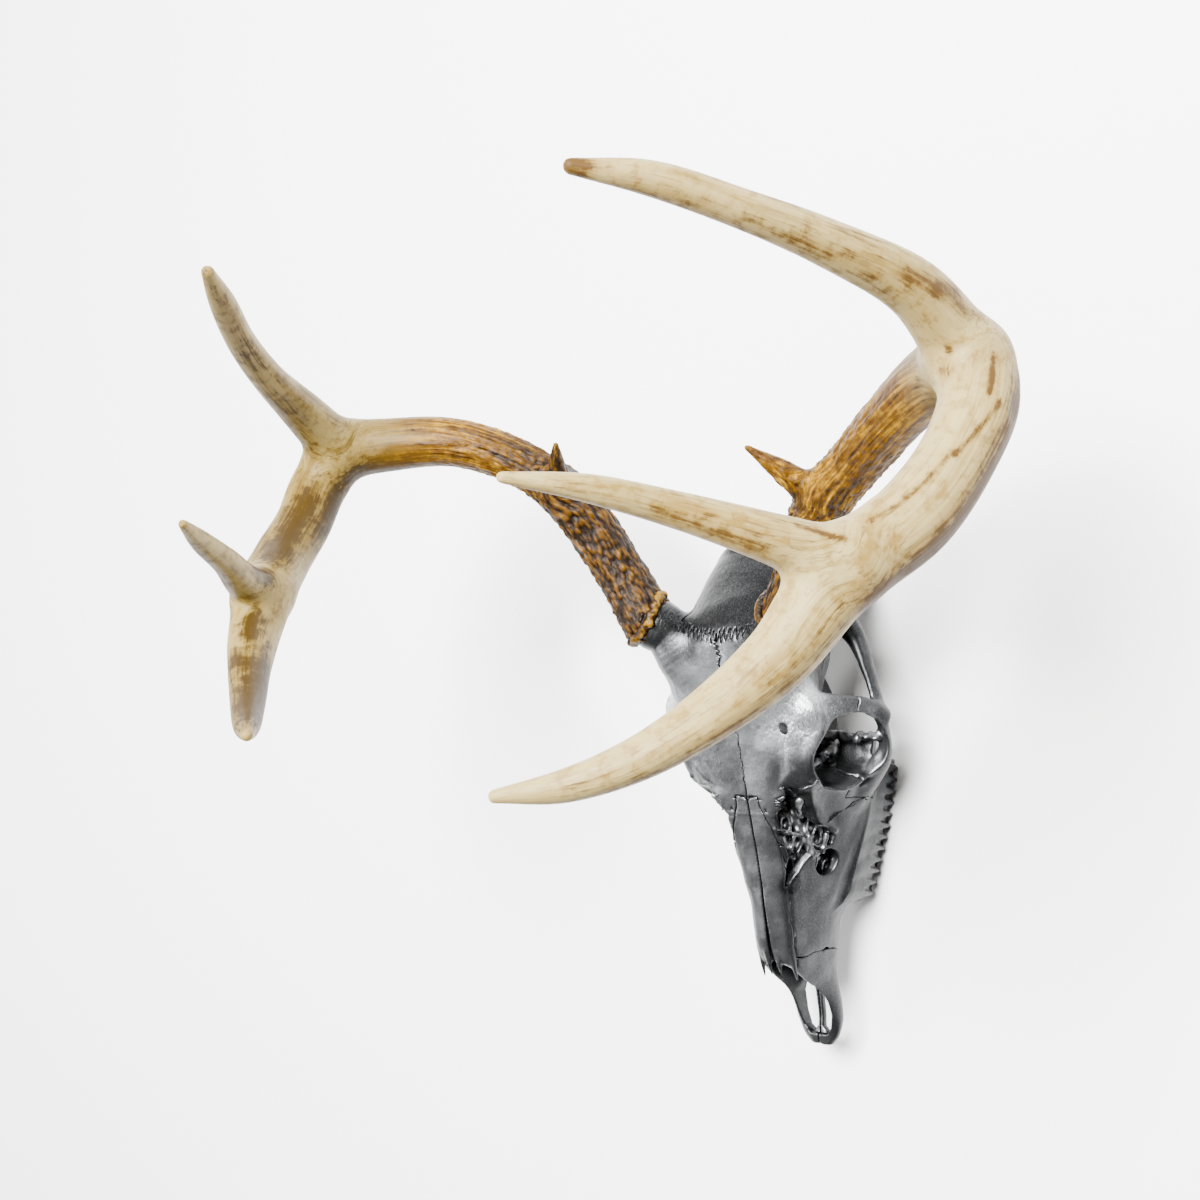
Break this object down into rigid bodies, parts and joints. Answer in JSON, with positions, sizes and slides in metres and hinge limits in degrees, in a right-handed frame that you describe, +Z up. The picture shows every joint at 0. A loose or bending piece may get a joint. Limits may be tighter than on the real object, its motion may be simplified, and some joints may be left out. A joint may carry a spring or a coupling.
{
  "type": "white-tailed deer skull",
  "caption": "Upper skull of a white-tailed buck with its antlers, the bone painted silver and the antlers left natural, lying on its last teeth and the back of the skull.",
  "frame": {"origin": "centre of the bounding box at the height of the surface it lies on", "axes": "+X to the deer's left, -Y the way the snout points, +Z up"},
  "size_m": [0.414, 0.406, 0.3631],
  "materials": {
    "silver_bone": "bone under satin silver paint, brighter on the forehead, dark in the hollows",
    "pale_antler": "natural antler, cream with fine tan and brown streaks, polished by wear",
    "tan_antler": "natural antler, tan with olive brown stains and paler ridges",
    "dark_antler": "rough pearled antler base, dark brown with amber and gold crests"
  },
  "bodies": {
    "root": {"braincase": "silver_bone", "nasal_left": "silver_bone", "nasal_right": "silver_bone", "premaxilla_left": "silver_bone", "premaxilla_right": "silver_bone", "zygomatic_left": "silver_bone", "zygomatic_right": "silver_bone", "lacrimal_left": "silver_bone", "lacrimal_right": "silver_bone", "frontal_left": "silver_bone", "frontal_right": "silver_bone", "maxilla_left": "silver_bone", "maxilla_right": "silver_bone", "antler_base_left": "dark_antler", "brow_tine_left": "dark_antler", "antler_beam_left": "pale_antler", "antler_bend_left": "pale_antler", "antler_beam_tip_left": "pale_antler", "second_tine_left": "pale_antler", "third_tine_left": "pale_antler", "antler_base_right": "dark_antler", "brow_tine_right": "dark_antler", "antler_beam_right": "tan_antler", "antler_bend_right": "tan_antler", "antler_beam_tip_right": "tan_antler", "second_tine_right": "tan_antler", "third_tine_right": "tan_antler"}
  },
  "joints": []
}
